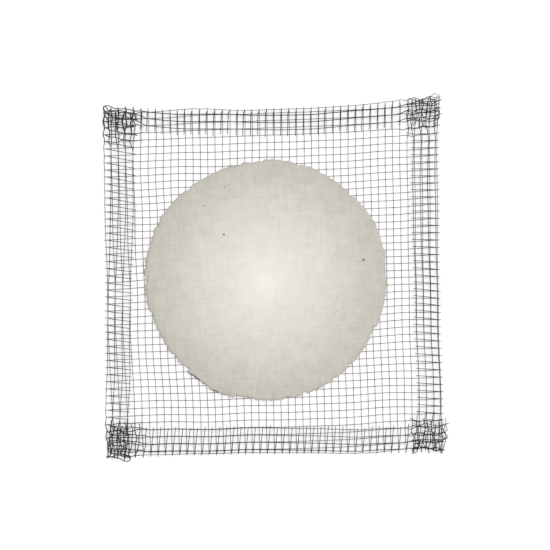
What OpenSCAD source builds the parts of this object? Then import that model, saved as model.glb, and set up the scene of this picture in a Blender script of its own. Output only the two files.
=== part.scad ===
// Wire gauze: a square of woven wire mesh with its four edges turned over,
// and a round ceramic pad moulded through the middle of the mesh.
// Origin: centre of the square, on the plane that the pad rests on. +Z is up.

/* [Mesh] */
// Spacing of the warp wires, which run along Y
warp_pitch = 3.237; // [2.5:0.001:4]
// Spacing of the weft wires, which run along X
weft_pitch = 3.127; // [2.5:0.001:4]
// Warp wires between the two side folds
warp_count = 45; // [38:1:55]
// Weft wires between the two end folds
weft_count = 48; // [40:1:58]
// Diameter of the wire
wire_d = 0.3; // [0.25:0.01:0.5]
// Clearance between two wires where they cross
crossing_gap = 0.03; // [0.03:0.005:0.06]

/* [Hem] */
// Wires in the turned-over hem of the left, right and front edges
hem_wires = 4; // [2:1:5]
// Wires in the hem of the back edge
back_hem_wires = 3; // [2:1:5]
// Clearance between two layers of the folded mesh
hem_gap = 0.07; // [0.05:0.01:0.3]
// Cut end of a wire past the last wire that it crosses
cut_end = 0.9; // [0.3:0.05:1.2]
// The same in the back hem
back_cut_end = 2.6; // [0.3:0.05:2.8]
// Pitches in which an end hem comes down from its corner to the flat mesh
settle_pitches = 4; // [4:1:8]
// Extra play of an edge wire inside its fold
edge_play = 0.02; // [0.02:0.005:0.05]

/* [Ceramic pad] */
// Diameter of the pad
pad_d = 105.4; // [80:0.1:112]
// Ceramic over the wires on each face
pad_cover = 0.7; // [0.4:0.05:1.5]
// Width of the thinned rim
rim_w = 1.6; // [0.5:0.1:5]
// Thickness of the rim at its outer edge
rim_t = 1.2; // [1.1:0.05:1.6]
// Offset of the pad from the centre of the square, along X
pad_x = -3.4; // [-5:0.1:5]
// Offset of the pad from the centre of the square, along Y
pad_y = 0.4; // [-5:0.1:5]
// Clearance of the ceramic round each wire
pad_gap = 0.02; // [0.01:0.005:0.05]

/* [Hidden] */
$fn = 20;

// Positions are kept to a thousandth, so that legs of wire meet exactly
function micron(v) = round(v * 1000) / 1000;

// Crimp: how far a wire's centre line stands above or below the mesh at a crossing
crimp = micron((wire_d + crossing_gap) / 2);
// Height between two layers of folded mesh
layer = micron(2 * crimp + wire_d + hem_gap);
// A bend and a kink are this much thicker than the wire that runs into them
bend_swell = 0.02;
kink_swell = 0.01;
edge_kink_swell = 0.03;
// Cut ends of the edge wefts stand this far outside the end folds
cut_out = 0.4;
// Height of the four layers in a corner, in layers above the flat mesh
corner_layers = 3;
pad_t = 2 * (crimp + wire_d / 2 + pad_cover);
mesh_z = micron(pad_t / 2);

// A fold: how far the mesh runs from the last wire before it to the middle of its bend, in
// pitches, how many wires its hem has, and the cut ends past them. With a whole pitch the
// next wire lies in the edge of the fold. The right fold falls midway between two warps.
plain_fold = [1, hem_wires, cut_end];
right_fold = [0.5, hem_wires, cut_end];
back_fold = [1, back_hem_wires, back_cut_end];

// One set of crossings along a wire: how many, how far apart, where the first is, and the
// folds before the first and past the last
function crossings(count, pitch, before, past) =
    let (first = ((before[0] - past[0]) * pitch - (count - 1) * pitch) / 2)
    [count, micron(pitch), micron(first), before, past];
along_x = crossings(warp_count, warp_pitch, plain_fold, right_fold);
along_y = crossings(weft_count, weft_pitch, plain_fold, back_fold);
function count(row) = row[0];
function pitch(row) = row[1];
function fold(row, side) = side < 0 ? row[3] : row[4];
// Whether a fold has a wire in its edge
function has_edge_wire(row, side) = fold(row, side)[0] == 1;
function hem_count(row, side) = fold(row, side)[1];
// Reach from the last crossing to the middle of a fold's edge
function reach(row, side) = micron(fold(row, side)[0] * pitch(row) - layer / 2 * (PI / 2 - 1));
// Place of crossing m, from 1 to the count
function place(row, m) = row[2] + (m - 1) * row[1];
// Place of the outer edge of the fold beyond the first (side -1) or last (side 1) crossing
function fold_edge(row, side) = place(row, side < 0 ? 1 : count(row)) + side * reach(row, side);
// Crossing m counted inwards from a side, which is also where hem wire m lies above it
function inward(row, side, m) = place(row, side < 0 ? m : count(row) + 1 - m);
// Number of that crossing along the unfolded wire. Past the fold the numbers go on: first the
// edge wire, if the fold has one, and then the hem's wires.
function index(row, side, m) = side < 0 ? m : count(row) + 1 - m;
function hem_index(row, side, m) = index(row, side, has_edge_wire(row, side) ? -m : 1 - m);

// Height of a wire at crossing m: s is 1 if it passes over at even crossings, -1 if under
function over_under(m, s) = (abs(m) % 2 == 0 ? s : -s) * crimp;
// Part of the full crimp that a wire has where its bend starts, this far inside the fold's edge
function bend_share(row, side, setback) = 2 * (reach(row, side) - setback) / pitch(row) - 1;
// Layers that an end hem stands above the mesh over warp m: high on the corners, down in the middle
function hem_layers(m) =
    let (inside = min(m, warp_count + 1 - m) - hem_wires - 1, drop = (corner_layers - 1) / settle_pitches)
    max(1, corner_layers - max(0, inside) * drop);
// Extra crimp that an edge wire needs to pass the bends of the other wires
function edge_crimp(row, side, setback) =
    micron(2 * crimp + edge_play - crimp * bend_share(row, side, setback));

// ---- Wire ----

// Straight leg of wire from a to b. It ends on the plane of each crossing,
// or squarely where a kink covers its end.
module leg(a, b, kink_a, kink_b) {
    v = b - a;
    len = norm(v);
    side = [-v.y, v.x, 0] * len / norm([v.x, v.y]);
    up = cross(v, side) / len;
    spare = wire_d / 2 / len;
    low = [min(a.x, b.x), min(a.y, b.y), min(a.z, b.z)] - wire_d * [0, 1, 1];
    high = [max(a.x, b.x), max(a.y, b.y), max(a.z, b.z)] + wire_d * [0, 1, 1];
    past_low = (v.x > 0 ? kink_a : kink_b) ? wire_d : 0;
    past_high = (v.x > 0 ? kink_b : kink_a) ? wire_d : 0;
    intersection() {
        multmatrix([
            [side.x, up.x, v.x, a.x],
            [side.y, up.y, v.y, a.y],
            [side.z, up.z, v.z, a.z],
            [0, 0, 0, 1]
        ])
            translate([0, 0, kink_a ? 0 : -spare])
                cylinder(h = 1 + (kink_a ? 0 : spare) + (kink_b ? 0 : spare), d = wire_d / len);
        translate(low - [past_low, 0, 0]) cube(high - low + [past_low + past_high, 0, 0]);
    }
}

// Half-round bend from a to b, which stand side by side, bulging away from the middle
module bend(a, b) {
    out = [sign(a.x), 0, 0];
    to = (b - a) / norm(b - a);
    axis = cross(to, out);
    c = (a + b) / 2;
    multmatrix([
        [to.x, out.x, axis.x, c.x],
        [to.y, out.y, axis.y, c.y],
        [to.z, out.z, axis.z, c.z],
        [0, 0, 0, 1]
    ])
        rotate_extrude(angle = 180) translate([norm(b - a) / 2, 0]) circle(d = wire_d + bend_swell);
}

function is_bend(a, b) = a.x == b.x;
function slope(a, b) = [b.y - a.y, b.z - a.z] / abs(b.x - a.x);
function differ(s, t) = min(norm(s - t), norm(s + t)) > 1e-5;
// A point is a kink where its two legs would leave different sections on the crossing's plane
function is_kink(path, n) =
    n > 0 && n < len(path) - 1 && !is_bend(path[n - 1], path[n]) && !is_bend(path[n], path[n + 1])
    && differ(slope(path[n - 1], path[n]), slope(path[n], path[n + 1]));

// Wire that runs along X through its crossings, from one cut end to the other
module wire(path, swell = kink_swell) {
    kinks = [for (n = [0 : len(path) - 1]) is_kink(path, n)];
    for (n = [1 : len(path) - 1]) {
        if (is_bend(path[n - 1], path[n])) bend(path[n - 1], path[n]);
        else leg(path[n - 1], path[n], kinks[n - 1], kinks[n]);
        if (kinks[n]) translate(path[n]) rotate([0, 90, 0]) sphere(d = wire_d + swell);
    }
}

function reverse(list) = [for (n = [len(list) - 1 : -1 : 0]) list[n]];

// End of a wire from its fold to its cut end. The run stands at height low and the hem at
// height high. wave is the crimp's direction on the run, and turned its direction on the hem.
function folded_end(row, side, s, low, high, setback, wave, turned) =
    let (
        wires = hem_count(row, side),
        cut = fold(row, side)[2],
        x = fold_edge(row, side) - side * setback,
        start = over_under(index(row, side, 0), s) * bend_share(row, side, setback),
        tip = over_under(index(row, side, wires), s) * (1 - 2 * cut / pitch(row))
    )
    concat(
        [[x, 0, low] + start * wave, [x, 0, high] + start * turned],
        [for (m = [1 : wires])
            [inward(row, side, m), 0, high] + over_under(index(row, side, m), s) * turned],
        [[inward(row, side, wires) - side * cut, 0, high] + tip * turned]
    );

// Wire along X with both ends folded over upwards.
// row: its crossings; s: over or under; lift: layers that each fold rises; setback: from the
// fold's edge to the centre of its bend; rise: height of the run at each crossing
module folded_wire(row, s, lift = 1, setback = layer / 2, rise = undef) {
    up = [0, 0, 1];
    run = [for (m = [1 : count(row)])
        [place(row, m), 0, is_undef(rise) ? 0 : rise[m - 1]] + over_under(m, s) * up];
    function end(side) =
        folded_end(row, side, s, 0, lift * layer, setback, up, has_edge_wire(row, side) ? -up : up);
    wire(concat(reverse(end(-1)), run, end(1)));
}

// Wire in the edge of the left fold, waving in and out instead of up and down.
// It runs at half a layer, and both ends are folded over with the corners.
module edge_warp_wire() {
    row = along_y;
    wave = [0, edge_crimp(along_x, -1, layer / 2) / crimp, 0];
    low = layer / 2;
    high = (corner_layers - 0.5) * layer;
    run = [for (m = [1 : count(row)]) [place(row, m), 0, low] + over_under(m, 1) * wave];
    function end(side) = folded_end(row, side, 1, low, high, corner_layers / 2 * layer, wave, wave);
    wire(concat(reverse(end(-1)), run, end(1)));
}

// Wire in the edge of an end fold. It comes down with the hem, and its cut ends
// pass outside the corners.
module edge_weft_wire(side) {
    row = along_x;
    number = side < 0 ? 0 : weft_count + 1;
    s = side * (number % 2 == 0 ? -1 : 1);
    run = [for (m = [1 : count(row)])
        let (half = hem_layers(m) * layer / 2, wave = edge_crimp(along_y, side, half) / crimp)
        [place(row, m), over_under(m, s) * wave, micron(half)]];
    function cut(end) =
        [fold_edge(row, end) + end * cut_end, side * cut_out, corner_layers * layer / 2];
    wire(concat([cut(-1)], run, [cut(1)]), edge_kink_swell);
}

// Rows and columns are numbered from the left and from the front, and the side hem's
// wires have the numbers of the wires that they lie above, from the edge inwards.
function weft_s(j) = j % 2 == 0 ? 1 : -1;
function warp_s(i) = -weft_s(i);

module weft(j) {
    translate([0, place(along_y, j), mesh_z]) folded_wire(along_x, weft_s(j));
}

module warp(i) {
    lift = hem_layers(i);
    translate([place(along_x, i), 0, mesh_z])
        rotate([0, 0, 90]) folded_wire(along_y, warp_s(i), lift, micron(lift * layer / 2));
}

// Wire m of an end hem: it lies face down, high on the corners, and its own ends fold under
module hem_weft(side, m) {
    j = hem_index(along_y, side, m);
    rise = [for (i = [1 : warp_count]) micron((corner_layers - hem_layers(i)) * layer)];
    translate([0, inward(along_y, side, m), mesh_z + corner_layers * layer])
        mirror([0, 0, 1]) folded_wire(along_x, weft_s(abs(j)), rise = rise);
}

// Wire m of a side hem: it lies one layer up, inside the corner's outer fold
module hem_warp(side, m) {
    i = hem_index(along_x, side, m);
    translate([inward(along_x, side, m), 0, mesh_z + layer])
        rotate([0, 0, 90]) folded_wire(along_y, -warp_s(abs(i)), 1, corner_layers / 2 * layer);
}

module edge_warp() {
    translate([fold_edge(along_x, -1), 0, mesh_z]) rotate([0, 0, 90]) edge_warp_wire();
}

module edge_weft(side) {
    translate([0, fold_edge(along_y, side), mesh_z]) edge_weft_wire(side);
}

// ---- Ceramic ----

// Room that a wire takes in the ceramic: across it, and through the woven layer.
// A warp's slot is a hair taller than a weft's, so that their ceilings stay apart.
slot_w = wire_d + 2 * pad_gap;
slot_h = micron(2 * crimp + wire_d + 2 * pad_gap);
slot_step = 0.02;

// Ceramic pressed through the mesh from both faces, with a slot round every wire
module ceramic_pad() {
    color("ivory") translate([0, 0, mesh_z]) difference() {
        translate([pad_x, pad_y, 0]) pad_blank();
        for (i = [1 : warp_count])
            slot([place(along_x, i), pad_y], [slot_w, 0, slot_h + slot_step], place(along_x, i) - pad_x);
        for (j = [1 : weft_count])
            slot([pad_x, place(along_y, j)], [0, slot_w, slot_h], place(along_y, j) - pad_y);
    }
}

module pad_blank() {
    rotate_extrude($fn = 96) polygon([
        [0, -pad_t / 2], [pad_d / 2 - rim_w, -pad_t / 2], [pad_d / 2, -rim_t / 2],
        [pad_d / 2, rim_t / 2], [pad_d / 2 - rim_w, pad_t / 2], [0, pad_t / 2]
    ]);
}

// Slot along a wire that passes this far from the pad's centre, if it passes through the pad
module slot(at, section, off) {
    through = pad_d + 2 * slot_w;
    size = [for (v = section) v == 0 ? through : v];
    if (abs(off) < pad_d / 2) translate(at) cube(size, center = true);
}

// ---- Nodes ----

// Wires share a node in neighbouring bundles, each wire a separate solid
most_bundles = 24;
function bundle_size(wires) = ceil(wires / most_bundles);
function bundles(wires) = ceil(wires / bundle_size(wires));
function bundle(wires, k) = [(k - 1) * bundle_size(wires) + 1 : min(wires, k * bundle_size(wires))];
function numbered(name, k) = str(name, k < 10 ? "_0" : "_", k);
function half_hem(wires, half) = half == 0 ? [1 : floor(wires / 2)] : [floor(wires / 2) + 1 : wires];
sides = [["left", -1], ["right", 1]];
ends = [["front", -1], ["back", 1]];
halves = ["outer", "inner"];

module steel() { color("dimgray") children(); }

ceramic_pad();
steel() edge_warp();  // edge_warps
steel() { edge_weft(-1); edge_weft(1); }  // edge_wefts
for (s = sides, h = [0, 1])
    steel() for (m = half_hem(hem_count(along_x, s[1]), h)) hem_warp(s[1], m);
for (e = ends, h = [0, 1])
    steel() for (m = half_hem(hem_count(along_y, e[1]), h)) hem_weft(e[1], m);
for (k = [1 : bundles(warp_count)])
    steel() for (i = bundle(warp_count, k)) warp(i);
for (k = [1 : bundles(weft_count)])
    steel() for (j = bundle(weft_count, k)) weft(j);
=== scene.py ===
"""Looks of the wire gauze: woven wires with folded hems, and a ceramic pad pressed through them."""
import math
import random

import bpy
import numpy as np
from mathutils import Matrix, Vector


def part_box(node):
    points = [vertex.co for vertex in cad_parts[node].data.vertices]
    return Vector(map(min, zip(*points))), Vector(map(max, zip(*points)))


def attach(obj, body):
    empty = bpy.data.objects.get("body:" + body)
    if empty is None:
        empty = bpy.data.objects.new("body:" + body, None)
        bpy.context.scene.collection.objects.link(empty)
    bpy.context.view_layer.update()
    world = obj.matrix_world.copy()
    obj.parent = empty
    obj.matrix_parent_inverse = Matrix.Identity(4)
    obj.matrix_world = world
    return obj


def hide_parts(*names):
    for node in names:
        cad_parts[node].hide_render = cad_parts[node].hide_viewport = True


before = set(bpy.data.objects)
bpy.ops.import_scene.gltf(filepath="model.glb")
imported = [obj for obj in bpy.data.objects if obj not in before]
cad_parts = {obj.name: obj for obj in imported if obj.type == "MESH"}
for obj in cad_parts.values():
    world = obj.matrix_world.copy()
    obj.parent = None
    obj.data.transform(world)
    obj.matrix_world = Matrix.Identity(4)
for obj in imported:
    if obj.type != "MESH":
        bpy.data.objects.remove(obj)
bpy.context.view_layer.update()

MM = 0.001

# ---- Sizes ----

# Wires that lie flat each way, and wires that are turned over with each hem
WARPS = 45
WEFTS = 48
HEM_WIRES = {"left": 4, "right": 4, "front": 4, "back": 3}
WIRE_R = 0.15 * MM
# How far a wire swings up and down in the weave, and how far apart folded layers lie
CRIMP = 0.165 * MM
LAYER = 0.70 * MM
# Layers that an end hem stands above the mesh at the corners, and pitches in which it comes down
CORNER_LAYERS = 3
SETTLE_PITCHES = 4

pad_low, pad_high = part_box("ceramic_pad")
PAD_X, PAD_Y = (pad_low.x + pad_high.x) / 2, (pad_low.y + pad_high.y) / 2
PAD_R = (pad_high.x - pad_low.x) / 2
PAD_T = pad_high.z
MESH_Z = PAD_T / 2


def middle(node, axis):
    """Middle of a CAD node along one axis."""
    low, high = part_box(node)
    return (low[axis] + high[axis]) / 2


# The first and the last but one node of each direction hold two wires each
WARP_PITCH = (middle(f"warps_{WARPS // 2:02d}", 0) - middle("warps_01", 0)) / (2 * (WARPS // 2) - 2)
WEFT_PITCH = (middle(f"wefts_{WEFTS // 2:02d}", 1) - middle("wefts_01", 1)) / (WEFTS - 2)


class Row:
    """The wires of one direction, by number: 1 to count lie flat, and the numbers go on through
    the folds into the hems. A fold's middle is a whole pitch past the last flat wire, where the
    next wire lies in its edge, or half a pitch, midway between two wires."""

    def __init__(self, count, pitch, before, past, low_hem, high_hem):
        self.count, self.pitch = count, pitch
        # Along the unfolded sheet, from its middle: a fold's middle, the first flat wire, and
        # where a fold's bend starts and ends
        self.half = (count - 1 + before + past) * pitch / 2
        self.first = before * pitch - self.half
        self.flat_end = self.half - math.pi * LAYER / 4
        self.turn_end = self.half + math.pi * LAYER / 4
        # Outline of the folded sheet
        self.edge = self.flat_end + LAYER / 2
        self.low_number = 1 - math.floor(before) - HEM_WIRES[low_hem]
        self.high_number = count + math.floor(past) + HEM_WIRES[high_hem]

    def along(self, number):
        """Distance of a wire from the middle along the unfolded sheet."""
        return self.first + (number - 1) * self.pitch


warps = Row(WARPS, WARP_PITCH, 1, 0.5, "left", "right")
wefts = Row(WEFTS, WEFT_PITCH, 1, 1, "front", "back")

# ---- Shape of the folded sheet ----


def smooth(value, start, end):
    """Eases from 0 at start to 1 at end."""
    t = np.clip((value - start) / (end - start), 0, 1)
    return t * t * (3 - 2 * t)


def ripple(seed, x, y, wave):
    """Smooth irregular waves of about this length, mostly between -1 and 1."""
    rng = random.Random(seed)
    total = 0
    for _ in range(5):
        heading = rng.uniform(0, 2 * math.pi)
        f = 2 * math.pi / wave * rng.uniform(0.6, 1.5)
        way = x * math.cos(heading) + y * math.sin(heading)
        total = total + np.sin(f * way + rng.uniform(0, 6.28))
    return total / 3


def fold(place, height, row, centre):
    """Turns a sheet up and over round the edge of a row. centre: height of the bend's middle.
    Returns the distance and the height after the fold, and how far past the fold a point is."""
    a = np.abs(place)
    start = row.edge - centre
    turn = np.clip((a - row.flat_end) / (LAYER / 2), 0, math.pi)
    over = np.maximum(a - row.turn_end, 0)
    last = row.half - row.pitch
    spare = row.flat_end - last
    squeeze = (start - last) / spare
    flat = np.where(a < last, a, last + (np.minimum(a, row.flat_end) - last) * squeeze)
    back = np.where(over < spare, start - over * squeeze, last - (over - spare))
    distance = np.where(turn < math.pi, flat, back) + (centre - height) * np.sin(turn)
    return np.sign(place) * distance, centre - (centre - height) * np.cos(turn), over


def hem_lift(x):
    """Layers that an end hem stands above the mesh: high on the corners, down in the middle."""
    corner = warps.half - (HEM_WIRES["left"] + 1) * WARP_PITCH
    rise = smooth(np.abs(x), corner - SETTLE_PITCHES * WARP_PITCH, corner)
    return 1 + (CORNER_LAYERS - 1) * rise


# The folds don't run true to the wires: how far the sheet has slipped out round each fold, in
# pitches, at even steps along it, from the front or from the left
SLIP = {
    "left": (-1.15, -1.0, -0.68, -0.5, -0.38, -0.22, -0.12, -0.06, 0.0),
    "right": (0.13, 0.1, 0.09, 0.15, 0.17),
    "front": (0.14, 0.22, 0.34, 0.32, 0.27, 0.17, -0.05, -0.48, -0.6),
    "back": (-1.05, -0.52, 0.0, 0.22, 0.28, 0.27, 0.2, 0.02, -0.05),
}
# How much further in each hem's lengthwise wires have crept than the slip alone puts them, in
# pitches, at the same steps
CREEP = {
    "left": (0.05, 0.0, -0.02, -0.15, -0.22, 0.02, 0.07, 0.11, 0.05),
    "right": (-0.25, -0.25, -0.2, -0.15, -0.1, 0.0, 0.04, -0.2, -0.3),
    "front": (-0.28, -0.44, -0.69, -0.64, -0.6, -0.68, -0.7, -0.04, 0.15),
    "back": (0.1, 0.04, -0.2, -0.44, -0.21, -0.12, -0.3, -0.04, 0.1),
}
# How far the back hem's short wires lie beside the wires below them, how unevenly, over what length
BACK_HEM_SHIFT = 0.28 * MM
BACK_HEM_UNEVEN = 1.2
BACK_HEM_WAVE = 8 * MM
BACK_HEM_SEED = 3
# How much each hem's short wires lean along it, per length across it
LEAN = {"left": -0.14, "right": 0.084, "front": 0.107, "back": -0.03}


def along_hem(table, side, t):
    """A hem's value at t, which runs from -1 to 1 along it."""
    return np.interp(t, np.linspace(-1, 1, len(table[side])), table[side])


def slipped(u, v):
    """Where a point of the unfolded sheet has slipped to."""
    s, t = np.clip(u / warps.half, -1, 1), np.clip(v / wefts.half, -1, 1)
    du = along_hem(SLIP, "right", t) * (1 + s) - along_hem(SLIP, "left", t) * (1 - s)
    dv = along_hem(SLIP, "back", s) * (1 + t) - along_hem(SLIP, "front", s) * (1 - t)
    return u + du / 2 * WARP_PITCH, v + dv / 2 * WEFT_PITCH


# The square is a little out of true: how far each corner lies from its place, in mm, how far in the
# middle of an edge sags, and how far out from the middle the sag is full
CORNER_SHIFT = {
    (-1, 1): (0.9, 2.1), (1, 1): (1.4, 2.5),
    (-1, -1): (-2.0, 0.5), (1, -1): (-0.1, -1.3),
}
BACK_SAG = 3.1 * MM
FRONT_SAG = 0.6 * MM
RIGHT_SAG = 0.6 * MM
SAG_FULL = 0.75


def settle(x, y):
    """Where a point of the true square lies in the square as it is."""
    s, t = x / warps.edge, y / wefts.edge
    dx = dy = 0
    for (cs, ct), (sx, sy) in CORNER_SHIFT.items():
        share = (1 + cs * s) * (1 + ct * t) / 4
        dx = dx + share * sx * MM
        dy = dy + share * sy * MM
    sag = BACK_SAG * smooth(t, 0, SAG_FULL) - FRONT_SAG * smooth(-t, 0, SAG_FULL)
    dy = dy - (1 - s * s) * sag
    dx = dx - RIGHT_SAG * (1 - t * t) * np.clip(s, 0, 1)
    return x + dx, y + dy


# How far the wires wander everywhere, and over what length
DRIFT = 0.22 * MM
DRIFT_WAVE = 40 * MM
DRIFT_SEEDS = (1, 2)
# The same where the hems cross in the corners, sideways and up
CRUMPLE = 0.55 * MM
CRUMPLE_WAVE = 7 * MM
CRUMPLE_SEEDS = (10, 20)
CRUMPLE_UP = 0.5 * MM
CRUMPLE_UP_WAVE = 9 * MM
CRUMPLE_UP_SEED = 30
# Pitches in from the folds where a corner's crumple starts, and where it is full
CORNER_STARTS = 6
CORNER_FULL = 4
# How far from register each of the four layers of a corner lies, in mm: the mesh itself, the
# side hem, the end hem, and where one hem lies over the other
LAYER_OFFSETS = ((0, 0), (-1.1, -0.6), (0.7, 1.35), (-0.8, 0.15))

# Painted shade on each hem's wires, where the folded layers shade each other: how dark at its fold,
# from 0 to 1, how much of that it loses inwards, and between how many pitches past the fold
HEM_PAINTED_SHADE = {"left": 0.66, "right": 0.75, "front": 0.88, "back": 1.0}
HEM_FADE = 0.35
FADE_STARTS = 1.5
FADE_ENDS = 3


def hem_painted_shade(over, pitch):
    """Share of a hem's painted shade this far past its fold."""
    fade = HEM_FADE * smooth(over, FADE_STARTS * pitch, FADE_ENDS * pitch)
    return np.clip(over / LAYER, 0, 1) * (1 - fade)


def near_fold(place, row):
    """How far into the crumple beside a fold a place is: 0 in the middle, 1 at the fold."""
    starts, full = row.half - CORNER_STARTS * row.pitch, row.half - CORNER_FULL * row.pitch
    return smooth(np.abs(place), starts, full)


def sheet_points(u, v, n):
    """Places of points that lie at (u, v) on the unfolded sheet, n above its middle.
    Also returns how dark in a hem and how deep in a corner each point is, from 0 to 1."""
    u, v = slipped(u, v)
    x, z, over_x = fold(u, n, warps, LAYER / 2)
    lift = hem_lift(x)
    y, z, over_y = fold(v, z, wefts, lift * LAYER / 2)
    in_side = smooth(over_x, 0, WARP_PITCH)
    in_end = smooth(over_y, 0, WEFT_PITCH)
    s, t = x / warps.edge, y / wefts.edge

    left, right = in_side * (x < 0), in_side * (x > 0)
    front, back = in_end * (y < 0), in_end * (y > 0)
    dx = (left * along_hem(CREEP, "left", t) - right * along_hem(CREEP, "right", t)) * WARP_PITCH
    dx = dx + over_y * (front * LEAN["front"] + back * LEAN["back"])
    uneven = BACK_HEM_UNEVEN * ripple(BACK_HEM_SEED, x, 0, BACK_HEM_WAVE)
    dx = dx - back * BACK_HEM_SHIFT * (1 + uneven)
    dy = (front * along_hem(CREEP, "front", s) - back * along_hem(CREEP, "back", s)) * WEFT_PITCH
    dy = dy + over_x * (left * LEAN["left"] + right * LEAN["right"])

    flat_x, flat_y = 1 - in_side, 1 - in_end
    layers = (flat_x * flat_y, in_side * flat_y, flat_x * in_end, in_side * in_end)
    corner = near_fold(x, warps) * near_fold(y, wefts)
    shift_x, shift_y = (ripple(seed, x, y, DRIFT_WAVE) * DRIFT for seed in DRIFT_SEEDS)
    for level, (share, (off_x, off_y)) in enumerate(zip(layers, LAYER_OFFSETS)):
        wave_x, wave_y = (ripple(seed + level, x, y, CRUMPLE_WAVE) for seed in CRUMPLE_SEEDS)
        shift_x = shift_x + corner * share * (off_x * MM + CRUMPLE * wave_x)
        shift_y = shift_y + corner * share * (off_y * MM + CRUMPLE * wave_y)
    rise = CRUMPLE_UP * (1 + ripple(CRUMPLE_UP_SEED, x, y, CRUMPLE_UP_WAVE))
    z = z + corner * rise * z / LAYER / CORNER_LAYERS
    x, y = settle(x + dx + shift_x, y + dy + shift_y)
    # Painted shade on the hems, darkest at each fold, where the folded layers shade each other
    darkest_side = np.where(x < 0, HEM_PAINTED_SHADE["left"], HEM_PAINTED_SHADE["right"])
    darkest_end = np.where(y < 0, HEM_PAINTED_SHADE["front"], HEM_PAINTED_SHADE["back"])
    side = hem_painted_shade(over_x, WARP_PITCH) * darkest_side
    end = hem_painted_shade(over_y, WEFT_PITCH) * darkest_end
    return np.stack([x, y, MESH_Z + z], axis=-1), np.maximum(side, end), corner


# ---- Wires ----

# Points along a wire: steps from crossing to crossing, and steps round a fold, which reach this
# many pitches each way
STEPS_PER_CROSSING = 4
BEND_STEPS = 24
BEND_SPAN = 0.7
# Cut ends past the last wire that they cross, in pitches, and how much they differ: at the left and
# in front, and at the right and the back
CUT_END = 0.3
BACK_CUT_END = 0.83
LOW_END_SHARES = (0.5, 1.5)
HIGH_END_SHARES = (0.8, 1.2)


def stations(row, first, last):
    """Crossing numbers along a wire, closer together where it bends round a fold."""
    numbers = [np.arange(first, last, 1 / STEPS_PER_CROSSING), [last]]
    for middle_of_fold in (-row.half, row.half):
        number = (middle_of_fold - row.first) / row.pitch + 1
        numbers.append(np.linspace(number - BEND_SPAN, number + BEND_SPAN, BEND_STEPS))
    return np.unique(np.round(np.concatenate(numbers), 4))


# Wires whose turn round the right or the back fold stands out as a loose bare loop: how far out
# and aside, in mm, and how much it spreads to its sides
LOOSE_TURNS = {
    ("weft", 3): (1.4, 0.0, 1.1),
    ("weft", 2): (1.1, 0.0, 1.0),
    ("warp", 45): (1.0, -1.7, 1.8),
}
# How far along the wire a loop reaches, each way
LOOSE_SPAN = 2.2 * MM


def wire_path(kind, number, rng):
    """Centre line of one wire, from cut end to cut end, with how deep in hem and corner each
    point is."""
    own, other = (warps, wefts) if kind == "warp" else (wefts, warps)
    high_cut = BACK_CUT_END if kind == "warp" else CUT_END
    low = other.low_number - CUT_END * rng.uniform(*LOW_END_SHARES)
    high = other.high_number + high_cut * rng.uniform(*HIGH_END_SHARES)
    k = stations(other, low, high)
    along, across = other.along(k), np.full_like(k, own.along(number))
    sign = 1 if (number % 2 == 0) == (kind == "weft") else -1
    height = sign * CRIMP * np.cos(math.pi * k)
    u, v = (across, along) if kind == "warp" else (along, across)
    points, hem, corner = sheet_points(u, v, height)
    if (kind, number) in LOOSE_TURNS:
        out, aside, spread = LOOSE_TURNS[kind, number]
        past = along - other.half
        loose = np.exp(-(past / LOOSE_SPAN) ** 4)
        outwards = 1 if kind == "warp" else 0
        points[:, outwards] += (out * MM + np.abs(past)) * loose
        points[:, 1 - outwards] += (aside * MM + spread * past) * loose
        hem, corner = hem * (1 - loose), corner * (1 - loose)
    return points, hem, corner


# Looped ends at the corners: wire kind, number and end (0 for its low end), with length and radius
# in mm, and turning axis
LOOPS = {
    ("weft", 0, 1): (8.0, 1.25, (0.2, 0.1, 1)),
    ("weft", -1, 1): (7.0, 1.1, (0.0, 0.3, -1)),
    ("weft", 0, 0): (5.0, 1.3, (0.1, 0.2, 1)),
    ("weft", WEFTS + 1, 0): (4.0, 1.5, (0.2, -0.2, 1)),
}
# Length and radius, in mm, between which the other cut ends in the corners curl
CURL_LENGTHS = (0.5, 2.5)
CURL_RADII = (1.5, 5)
CURL_STEP = 0.22 * MM


def end_curl(kind, number, end, in_corner, rng):
    """Length, radius and axis of the curl at one end of a wire, or None if it stays straight."""
    if (kind, number, end) in LOOPS:
        length, radius, axis = LOOPS[kind, number, end]
    elif in_corner:
        length, radius = rng.uniform(*CURL_LENGTHS), rng.uniform(*CURL_RADII)
        axis = [rng.uniform(-1, 1) for _ in range(3)]
    else:
        return None
    return length * MM, radius * MM, Vector(axis).normalized()


def curl(points, length, radius, axis):
    """Adds a curled end to a centre line, turning about an axis."""
    heading = Vector(points[-1] - points[-2]).normalized()
    at = Vector(points[-1])
    extra = []
    for _ in range(int(length / CURL_STEP)):
        heading.rotate(Matrix.Rotation(CURL_STEP / radius, 3, axis))
        at = at + heading * CURL_STEP
        at.z = max(at.z, 2 * WIRE_R)
        extra.append(tuple(at))
    return np.vstack([points, extra])


def curled_path(kind, number, rng):
    """A wire's centre line and depths, with its curled ends."""
    points, hem, corner = wire_path(kind, number, rng)
    for end, way in ((0, -1), (1, 1)):
        found = end_curl(kind, number, end, corner[-end] > 0.5, rng)
        if not found:
            continue
        grown = curl(points[::way], *found)[::way]
        more = len(grown) - len(points)
        where = (0, more) if end else (more, 0)
        points = grown
        hem, corner = np.pad(hem, where, "edge"), np.pad(corner, where, "edge")
    return points, hem, corner


# Flat faces round a tube
SIDES = 8
# How much thicker a wire is made: in the corners on the left and on the right, and where
# a hem's painted shade is more than half dark
SCALE_GROWTH = (0.37, 0.06)
HEM_GROWTH = 0.3
# How much a corner adds to a hem's painted shade, and how dark the painted shade in a corner is at
# least
CORNER_ADDS = 0.34
CORNER_PAINTED_SHADE = 0.9


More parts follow.
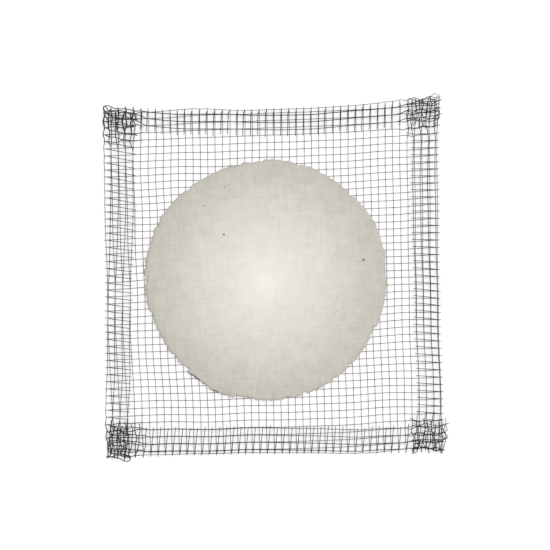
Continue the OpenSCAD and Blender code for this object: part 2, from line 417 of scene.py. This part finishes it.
def tube(points, radii):
    """Vertices and faces of a round tube along a centre line, closed at both ends."""
    steps = np.gradient(points, axis=0)
    tangents = steps / np.linalg.norm(steps, axis=1)[:, None]
    normal = Vector((0, 0, 1)).cross(Vector(tangents[0])).normalized()
    frames = []
    for t in tangents:
        t = Vector(t)
        normal = (normal - t * normal.dot(t)).normalized()
        frames.append((tuple(normal), tuple(t.cross(normal))))
    frames = np.array(frames)
    angles = np.arange(SIDES) * 2 * math.pi / SIDES
    across, up = frames[:, None, 0], frames[:, None, 1]
    ring = np.cos(angles)[None, :, None] * across + np.sin(angles)[None, :, None] * up
    verts = (points[:, None] + radii[:, None, None] * ring).reshape(-1, 3)
    rows = np.arange(len(points) - 1)[:, None] * SIDES
    i = np.arange(SIDES)[None, :]
    j = (i + 1) % SIDES
    quads = np.stack([rows + i, rows + j, rows + SIDES + j, rows + SIDES + i], axis=-1)
    caps = [list(range(SIDES))[::-1], [len(verts) - SIDES + n for n in range(SIDES)]]
    return verts, quads.reshape(-1, 4).tolist() + caps


def mesh_piece(name, verts, faces, material):
    """A mesh object, smooth but for faces that aren't quads."""
    mesh = bpy.data.meshes.new(name)
    mesh.from_pydata([tuple(v) for v in verts], [], faces)
    mesh.polygons.foreach_set("use_smooth", [len(f) == 4 for f in faces])
    mesh.materials.append(material)
    mesh.update()
    piece = bpy.data.objects.new(name, mesh)
    bpy.context.scene.collection.objects.link(piece)
    return piece


def wires_piece(node, kind, numbers, material):
    """All wires of one node as a piece that stands for it."""
    verts, faces, dark = [], [], []
    for number in numbers:
        rng = random.Random(1000 * number + (kind == "warp"))
        points, hem, corner = curled_path(kind, number, rng)
        growth = np.where(points[:, 0] < 0, *SCALE_GROWTH)
        growth = np.maximum(growth * corner, HEM_GROWTH * np.maximum(hem - 0.5, 0) * 2)
        v, f = tube(points, WIRE_R * (1 + growth))
        base = sum(len(part) for part in verts)
        verts.append(v)
        faces += [[n + base for n in face] for face in f]
        # Painted shade in the hems and corners, where layers of wire lie over each other, stored on
        # the points
        depth = np.maximum(hem + CORNER_ADDS * corner, CORNER_PAINTED_SHADE * corner)
        dark.append(np.repeat(np.clip(depth, 0, 1), SIDES))
    piece = mesh_piece("woven_" + node, np.vstack(verts), faces, material)
    painted_shade = piece.data.attributes.new("painted_shade", "FLOAT", "POINT")
    painted_shade.data.foreach_set("value", np.concatenate(dark).astype(np.float32))
    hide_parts(node)
    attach(piece, "root")
    return piece


def node_wires():
    """Kind and numbers of the wires in each node."""
    table = {"edge_warps": ("warp", [0]), "edge_wefts": ("weft", [0, WEFTS + 1])}
    for kind, row, hems in (("warp", warps, ("left", "right")), ("weft", wefts, ("front", "back"))):
        for hem, last, step in zip(hems, (row.low_number, row.high_number), (-1, 1)):
            outermost = last - step * (HEM_WIRES[hem] - 1)
            numbers = [outermost + step * m for m in range(HEM_WIRES[hem])]
            half = len(numbers) // 2
            table[f"{hem}_hem_{kind}s_outer"] = (kind, numbers[:half])
            table[f"{hem}_hem_{kind}s_inner"] = (kind, numbers[half:])
        for k in range(1, (row.count + 1) // 2 + 1):
            table[f"{kind}s_{k:02d}"] = (kind, [n for n in (2 * k - 1, 2 * k) if n <= row.count])
    return table


# ---- Ceramic pad ----

RINGS = 84
SPOKES = 400
# The faces fall off to the rim over this distance, to this thickness, along a curve of this power
RIM_FALL = 1.2 * MM
RIM_T = 0.84 * MM
RIM_POWER = 2.2


def cell_noise(seed, a, b):
    """A number between 0 and 1 for each cell of a grid."""
    return random.Random(seed * 7919 + int(a) * 613 + int(b) * 17).random()


# Where the outline leaves a true circle: heading and spread in degrees, and how far out in mm
LUMPS = (
    (20, 16, 1.3), (112, 20, -0.9), (150, 7, 0.7), (172, 4, 0.6),
    (206, 12, -1.0), (246, 10, 0.9), (324, 14, -0.4),
)
# How far the whole rim stands out, and how far in the ceramic ends in an opening: by the whole BITE
# where the opening's noise is above BITTEN, and by up to NIBBLE elsewhere
RIM_OUT = 0.4 * MM
BITTEN = 0.75
BITE = 0.8 * MM
NIBBLE = 0.35 * MM
BITE_SEED = 3
# How far the ceramic runs out along a wire, and how close to the wire
WIRE_RUN = 0.3 * MM
WIRE_REACH = 0.45 * MM
# How far the rim wavers besides, and over what length
RIM_WAVER = 0.1 * MM
RIM_WAVE = 2.2 * MM
RIM_SEED = 6

# Middle and spread of the worst stretch of the rim, in degrees, and how much deeper its bites are
CHIPPED_AT = 238
CHIPPED_SPREAD = 12
CHIPPED_DEPTH = 1.6
# The dark bits there: their width in degrees, the share that stays clean, and how far in they go
DARK_BIT_WIDTH = 1.5
DARK_BIT_CLEAN = 0.45
DARK_BIT_DEPTH = 0.7 * MM
DARK_BIT_SEED = 5


def on_wire(place, row):
    """How close a place is to a wire: 1 on it, falling off to 0 beside it."""
    away = abs(((place - row.first) / row.pitch + 0.5) % 1 - 0.5) * row.pitch
    return math.exp(-(away / WIRE_REACH) ** 2)


def chipped(angle):
    """How badly the rim is chipped: 1 in the middle of the worst stretch."""
    return math.exp(-((math.degrees(angle) - CHIPPED_AT) / CHIPPED_SPREAD) ** 2)


def rim_radius(angle):
    """Ragged outline: the ceramic ends near a wire here and part way through an opening there."""
    x, y = PAD_R * math.cos(angle), PAD_R * math.sin(angle)
    column, line = math.floor((x + PAD_X) / WARP_PITCH), math.floor((y + PAD_Y) / WEFT_PITCH)
    bite = cell_noise(BITE_SEED, column, line)
    r = PAD_R + RIM_OUT
    for heading, spread, rise in LUMPS:
        off = (math.degrees(angle) - heading + 180) % 360 - 180
        r += rise * MM * math.exp(-(off / spread) ** 2)
    depth = BITE if bite > BITTEN else NIBBLE * bite
    r -= depth * (1 + CHIPPED_DEPTH * chipped(angle))
    run = max(abs(math.cos(angle)) * on_wire(y + PAD_Y, wefts),
              abs(math.sin(angle)) * on_wire(x + PAD_X, warps))
    return r + WIRE_RUN * run + RIM_WAVER * float(ripple(RIM_SEED, x, y, RIM_WAVE))


def imprint(x, y):
    """How strongly the wires below show through the face: 1 over a wire, 0 in an opening."""
    a = np.cos(math.pi * (x - warps.first) / WARP_PITCH) ** 2
    b = np.cos(math.pi * (y - wefts.first) / WEFT_PITCH) ** 2
    return np.maximum(a ** 4, b ** 4)


# How deep the print of the mesh is in the upper face, and how uneven each face is, over what length
PRINT_DEPTH = 0.02 * MM
TOP_UNEVEN = 0.015 * MM
LOW_UNEVEN = 0.01 * MM
FACE_WAVE = 30 * MM
TOP_SEED = 8
LOW_SEED = 9


def pad_piece(material):
    """The pad as one closed solid: two round faces of rings and spokes, joined at the rim."""
    angles = [2 * math.pi * n / SPOKES for n in range(SPOKES)]
    rims = np.array([rim_radius(a) for a in angles])
    shares = np.linspace(0, 1, RINGS + 1)[1:]
    cos, sin = np.cos(angles), np.sin(angles)
    r = shares[:, None] * rims[None, :]
    x, y = PAD_X + r * cos, PAD_Y + r * sin
    inward = rims[None, :] - r
    crown = np.sqrt(1 - np.clip(1 - inward / RIM_FALL, 0, 1) ** RIM_POWER)
    half = RIM_T / 2 + (PAD_T / 2 - RIM_T / 2) * crown
    top = half + PRINT_DEPTH * (imprint(x, y) - 1)
    top = top - TOP_UNEVEN * (1 - ripple(TOP_SEED, x, y, FACE_WAVE)) * crown
    low = half - LOW_UNEVEN * (1 - ripple(LOW_SEED, x, y, FACE_WAVE)) * crown
    # The lower face lies on the floor and doesn't reach through it
    low = np.minimum(low, MESH_Z)
    verts, faces = [], []
    for side, height in ((1, top), (-1, low)):
        base = len(verts)
        verts.append((PAD_X, PAD_Y, MESH_Z + side * float(height[0].mean())))
        grid = np.stack([x, y, MESH_Z + side * height], axis=-1).reshape(-1, 3)
        verts += [tuple(p) for p in grid]
        for s in range(SPOKES):
            after = (s + 1) % SPOKES
            fan = [base, base + 1 + s, base + 1 + after]
            faces.append(fan if side > 0 else fan[::-1])
            for ring in range(RINGS - 1):
                a, b = base + 1 + ring * SPOKES + s, base + 1 + ring * SPOKES + after
                quad = [a, a + SPOKES, b + SPOKES, b]
                faces.append(quad if side > 0 else quad[::-1])
    sheet = 1 + RINGS * SPOKES
    outer = 1 + (RINGS - 1) * SPOKES
    for s in range(SPOKES):
        after = (s + 1) % SPOKES
        faces.append([outer + s, sheet + outer + s, sheet + outer + after, outer + after])
    piece = mesh_piece("pressed_pad", verts, faces, material)
    # Dark bits along the worst stretch of the rim: the colour is darkened close to the edge there
    bits = [cell_noise(DARK_BIT_SEED, math.degrees(a) // DARK_BIT_WIDTH, 0) > DARK_BIT_CLEAN for a in angles]
    darkened = np.array([chipped(a) for a in angles]) * bits
    close = np.exp(-(inward / DARK_BIT_DEPTH) ** 2) * darkened[None, :]
    dark_bits = piece.data.attributes.new("rim_dark", "FLOAT", "POINT")
    dark_bits.data.foreach_set("value", np.tile(np.append(0, close.reshape(-1)), 2).astype(np.float32))
    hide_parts("ceramic_pad")
    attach(piece, "root")
    return piece


# ---- Materials ----


def srgb(*values):
    """Linear colour from 8-bit screen values."""
    return tuple(((v / 255 + 0.055) / 1.055) ** 2.4 for v in values) + (1.0,)


def new_material(name):
    """A material with one principled shader, and that shader."""
    material = bpy.data.materials.new(name)
    material.use_nodes = True
    nodes = material.node_tree.nodes
    nodes.clear()
    output = nodes.new("ShaderNodeOutputMaterial")
    shader = nodes.new("ShaderNodeBsdfPrincipled")
    material.node_tree.links.new(shader.outputs[0], output.inputs[0])
    return material, shader


class Graph:
    """Short calls that add nodes to one material."""

    def __init__(self, material):
        self.nodes, self.links = material.node_tree.nodes, material.node_tree.links
        self.place = self.add("ShaderNodeTexCoord").outputs["Object"]

    def add(self, kind, **sockets):
        """A new node, with its sockets set or linked by name."""
        node = self.nodes.new(kind)
        for name, value in sockets.items():
            self.put(node.inputs[name], value)
        return node

    def put(self, socket, value):
        if isinstance(value, bpy.types.NodeSocket):
            self.links.new(value, socket)
        else:
            socket.default_value = value

    def noise(self, scale, detail=3.0, rough=0.5, at=None):
        node = self.add("ShaderNodeTexNoise", Scale=scale, Detail=detail, Roughness=rough)
        self.links.new(at or self.place, node.inputs["Vector"])
        return node.outputs["Fac"]

    def vector(self, operation, a, b=(0, 0, 0)):
        node = self.nodes.new("ShaderNodeVectorMath")
        node.operation = operation
        self.put(node.inputs[0], a)
        self.put(node.inputs[1], b)
        return node.outputs["Value" if operation in ("LENGTH", "DISTANCE") else "Vector"]

    def stretched_noise(self, stretch, scale):
        """Noise drawn out along one axis, like the threads of a cloth."""
        return self.noise(scale, 2.0, 0.6, at=self.vector("MULTIPLY", self.place, stretch))

    def math(self, operation, *values, clamp=False):
        node = self.nodes.new("ShaderNodeMath")
        node.operation, node.use_clamp = operation, clamp
        for socket, value in zip(node.inputs, values):
            self.put(socket, value)
        return node.outputs[0]

    def span(self, value, low, high, out_low=0.0, out_high=1.0):
        """Carries low to high over to out_low to out_high."""
        node = self.nodes.new("ShaderNodeMapRange")
        for socket, number in zip(node.inputs, (value, low, high, out_low, out_high)):
            self.put(socket, number)
        return node.outputs[0]

    def attribute(self, name):
        node = self.nodes.new("ShaderNodeAttribute")
        node.attribute_name = name
        return node.outputs["Fac"]

    def mix(self, share, a, b):
        """Mixes two colours. The node's colour sockets are told from its others by number."""
        node = self.nodes.new("ShaderNodeMix")
        node.data_type = "RGBA"
        for number, value in ((0, share), (6, a), (7, b)):
            self.put(node.inputs[number], value)
        return node.outputs[2]

    def bump(self, height, distance, strength):
        node = self.add("ShaderNodeBump", Height=height, Distance=distance, Strength=strength)
        return node.outputs["Normal"]


ZINC, ZINC_DULL = srgb(140, 142, 138), srgb(106, 108, 104)
# Dark greenish grey for stray tarnished patches, and for the painted shade in hems and corners
TARNISH_AND_PAINTED_SHADE, TARNISH_AND_PAINTED_SHADE_DARK = srgb(36, 41, 37), srgb(18, 22, 20)
# Share of the painted shade that shows where a wire is darkest
PAINTED_SHADE_SHOWN = 0.85


def wire_material():
    """Dull zinc-coated iron: uneven grey with stray tarnished patches, and painted shade in hems
    and corners in the same dark greenish grey.
    """
    material, shader = new_material("galvanised_wire")
    g = Graph(material)
    patches = g.noise(220.0, 4.0, 0.6)
    fine = g.noise(2600.0, 3.0, 0.6)
    zinc = g.mix(g.span(patches, 0.35, 0.65), ZINC, ZINC_DULL)
    tarnish_and_shade = g.mix(g.span(fine, 0.4, 0.7), TARNISH_AND_PAINTED_SHADE, TARNISH_AND_PAINTED_SHADE_DARK)
    stray = g.span(patches, 0.3, 0.8, -0.1, 0.15)
    # Painted shade from the hems and corners, with stray tarnished patches besides
    amount = g.math("MULTIPLY_ADD", g.attribute("painted_shade"), PAINTED_SHADE_SHOWN, stray, clamp=True)
    g.put(shader.inputs["Base Color"], g.mix(amount, zinc, tarnish_and_shade))
    g.put(shader.inputs["Roughness"], g.span(fine, 0.3, 0.7, 0.38, 0.62))
    g.put(shader.inputs["Normal"], g.bump(fine, 0.02 * MM, 0.5))
    shader.inputs["Metallic"].default_value = 0.8
    return material


# Small marks on the face: place from the pad's centre and radius, in mm, and strength
MARKS = (
    (-17.8, 20.4, 0.6, 0.95), (43.2, 7.7, 0.75, 0.85), (-26.1, 33.3, 0.5, 0.6),
    (-16.8, 41.1, 0.45, 0.6), (15.4, 32.6, 0.5, 0.3), (2.0, 33.3, 0.4, 0.3),
    (30.9, 10.3, 0.45, 0.45), (31.1, 4.1, 0.4, 0.35), (31.1, -8.3, 0.4, 0.4),
    (30.9, -14.5, 0.4, 0.5), (33.2, -13.5, 0.4, 0.5), (30.8, -20.7, 0.5, 0.35),
    (34.2, -30.6, 0.4, 0.45), (-4.6, -48.5, 0.5, 0.4), (-26.0, -33.7, 0.35, 0.45),
    (46.0, 16.9, 0.4, 0.45),
)

# The ceramic's colour at even steps from the centre of the pad to its rim: partly its own tone,
# greyer to the rim, and partly a painted pool of light, brightest in the middle
CERAMIC_TONE_AND_PAINTED_LIGHT = (
    srgb(244, 241, 234), srgb(237, 234, 227), srgb(231, 228, 220),
    srgb(224, 221, 213), srgb(214, 210, 201), srgb(204, 200, 191),
)
CERAMIC_STAIN = srgb(170, 163, 152)
MARK = srgb(92, 80, 66)
RIM_DARK = srgb(56, 52, 46)
# A mark is whole out to this share of its radius
MARK_CORE = 0.4


def ceramic_material():
    """Unglazed ceramic, palest in the middle and greyer to the rim, partly its own tone and partly
    a painted pool of light, with a fine linen grain, specks and dark bits on the chipped rim."""
    material, shader = new_material("pressed_ceramic")
    g = Graph(material)
    flat = g.vector("MULTIPLY", g.vector("SUBTRACT", g.place, (PAD_X, PAD_Y, PAD_T)), (1, 1, 0))
    share = g.span(g.vector("LENGTH", flat), 0, PAD_R)
    # This ramp paints a pool of light in the middle of the pad, on top of the ceramic's own greying
    # to the rim
    ramp = g.add("ShaderNodeValToRGB", Fac=share)
    points = ramp.color_ramp.elements
    for n in range(1, len(CERAMIC_TONE_AND_PAINTED_LIGHT) - 1):
        points.new(n / (len(CERAMIC_TONE_AND_PAINTED_LIGHT) - 1))
    for point, colour in zip(points, CERAMIC_TONE_AND_PAINTED_LIGHT):
        point.color = colour
    mottle = g.noise(220.0, 5.0, 0.65)
    grain = g.noise(1500.0, 4.0, 0.7)
    along = g.stretched_noise((1.0, 0.12, 1.0), 900.0)
    across = g.stretched_noise((0.12, 1.0, 1.0), 900.0)
    # The grain shows more towards the rim
    depth = g.span(share, 0.0, 1.0, 0.35, 1.5)
    linen = g.math("ADD", along, across)
    uneven = g.span(mottle, 0.35, 0.65, 0.0, 0.16)
    for value, low, high, most in ((grain, 0.35, 0.65, 0.10), (linen, 0.8, 1.2, 0.13)):
        uneven = g.math("ADD", uneven, g.span(value, low, high, most, 0.0))
    colour = g.mix(g.math("MULTIPLY", uneven, depth), ramp.outputs["Color"], CERAMIC_STAIN)
    for x, y, radius, strength in MARKS:
        away = g.vector("DISTANCE", flat, (x * MM, y * MM, 0))
        spot = g.span(away, radius * MARK_CORE * MM, radius * MM, strength, 0.0)
        colour = g.mix(spot, colour, MARK)
    # Darkens the colour in bits along the chipped rim
    colour = g.mix(g.span(g.attribute("rim_dark"), 0.3, 0.6), colour, RIM_DARK)
    g.put(shader.inputs["Base Color"], colour)
    g.put(shader.inputs["Roughness"], g.span(grain, 0.3, 0.7, 0.8, 0.95))
    pits = g.math("MULTIPLY_ADD", grain, 0.6, g.noise(420.0, 4.0, 0.6))
    g.put(shader.inputs["Normal"], g.bump(pits, 0.08 * MM, 0.5))
    shader.inputs["Specular IOR Level"].default_value = 0.25
    return material


# ---- Setting ----

# The floor's width, its grey, and how brightly it glows where it is seen
FLOOR_SIZE = 3.0
FLOOR_GREY = 0.6
FLOOR_GLOW = 0.55
ROOM_LIGHT = 0.8
# The lamp's place and width in metres, and its power in watts
LAMP_PLACE = (0.5, 0.4, 0.9)
LAMP_SIZE = 0.8
LAMP_POWER = 4.0
# The camera looks straight down on this place, from this height, on a field of this width
VIEW_X, VIEW_Y = 0.8 * MM, 2.4 * MM
VIEW_HEIGHT = 0.9
VIEW_WIDTH = 241.7 * MM
# Width of the camera's sensor, in mm
SENSOR = 36
ROLL = math.radians(1.5)


def floor_material():
    """Pale floor that keeps the object's shadow and reads as white. It glows only where the camera
    or a reflection sees it, so it adds no light."""
    material = bpy.data.materials.new("pale_floor")
    material.use_nodes = True
    nodes, links = material.node_tree.nodes, material.node_tree.links
    nodes.clear()
    output = nodes.new("ShaderNodeOutputMaterial")
    diffuse = nodes.new("ShaderNodeBsdfDiffuse")
    diffuse.inputs["Color"].default_value = (FLOOR_GREY, FLOOR_GREY, FLOOR_GREY, 1)
    glow = nodes.new("ShaderNodeEmission")
    path = nodes.new("ShaderNodeLightPath")
    seen = nodes.new("ShaderNodeMath")
    seen.operation = "MAXIMUM"
    links.new(path.outputs["Is Camera Ray"], seen.inputs[0])
    links.new(path.outputs["Is Glossy Ray"], seen.inputs[1])
    level = nodes.new("ShaderNodeMath")
    level.operation = "MULTIPLY"
    links.new(seen.outputs[0], level.inputs[0])
    level.inputs[1].default_value = FLOOR_GLOW
    links.new(level.outputs[0], glow.inputs["Strength"])
    total = nodes.new("ShaderNodeAddShader")
    links.new(diffuse.outputs[0], total.inputs[0])
    links.new(glow.outputs[0], total.inputs[1])
    links.new(total.outputs[0], output.inputs[0])
    return material


def floor():
    """Floor that the gauze lies on."""
    half = FLOOR_SIZE / 2
    corners = [(-half, -half, 0), (half, -half, 0), (half, half, 0), (-half, half, 0)]
    mesh = bpy.data.meshes.new("floor")
    mesh.from_pydata(corners, [], [(0, 1, 2, 3)])
    mesh.materials.append(floor_material())
    plane = bpy.data.objects.new("floor", mesh)
    bpy.context.scene.collection.objects.link(plane)


def lights():
    """Even room light, and a large soft lamp from the back right."""
    world = bpy.data.worlds.new("soft_room")
    world.use_nodes = True
    background = world.node_tree.nodes["Background"]
    background.inputs["Color"].default_value = (1, 1, 1, 1)
    background.inputs["Strength"].default_value = ROOM_LIGHT
    bpy.context.scene.world = world
    lamp = bpy.data.lights.new("soft_box", "AREA")
    lamp.shape, lamp.size, lamp.energy = "DISK", LAMP_SIZE, LAMP_POWER
    holder = bpy.data.objects.new("soft_box", lamp)
    holder.location = LAMP_PLACE
    holder.rotation_euler = (-Vector(LAMP_PLACE)).to_track_quat("-Z", "Y").to_euler()
    bpy.context.scene.collection.objects.link(holder)


def camera():
    """Camera straight above, turned a little as in the photo."""
    data = bpy.data.cameras.new("camera")
    data.sensor_width = SENSOR
    data.lens = data.sensor_width * (VIEW_HEIGHT - MESH_Z) / VIEW_WIDTH
    holder = bpy.data.objects.new("camera", data)
    holder.location = (VIEW_X, VIEW_Y, VIEW_HEIGHT)
    holder.rotation_euler = (0, 0, -ROLL)
    bpy.context.scene.collection.objects.link(holder)
    bpy.context.scene.camera = holder


camera()
steel = wire_material()
for node, (kind, numbers) in node_wires().items():
    wires_piece(node, kind, numbers, steel)
pad_piece(ceramic_material())
floor()
lights()

bpy.context.scene.view_settings.view_transform = "Standard"
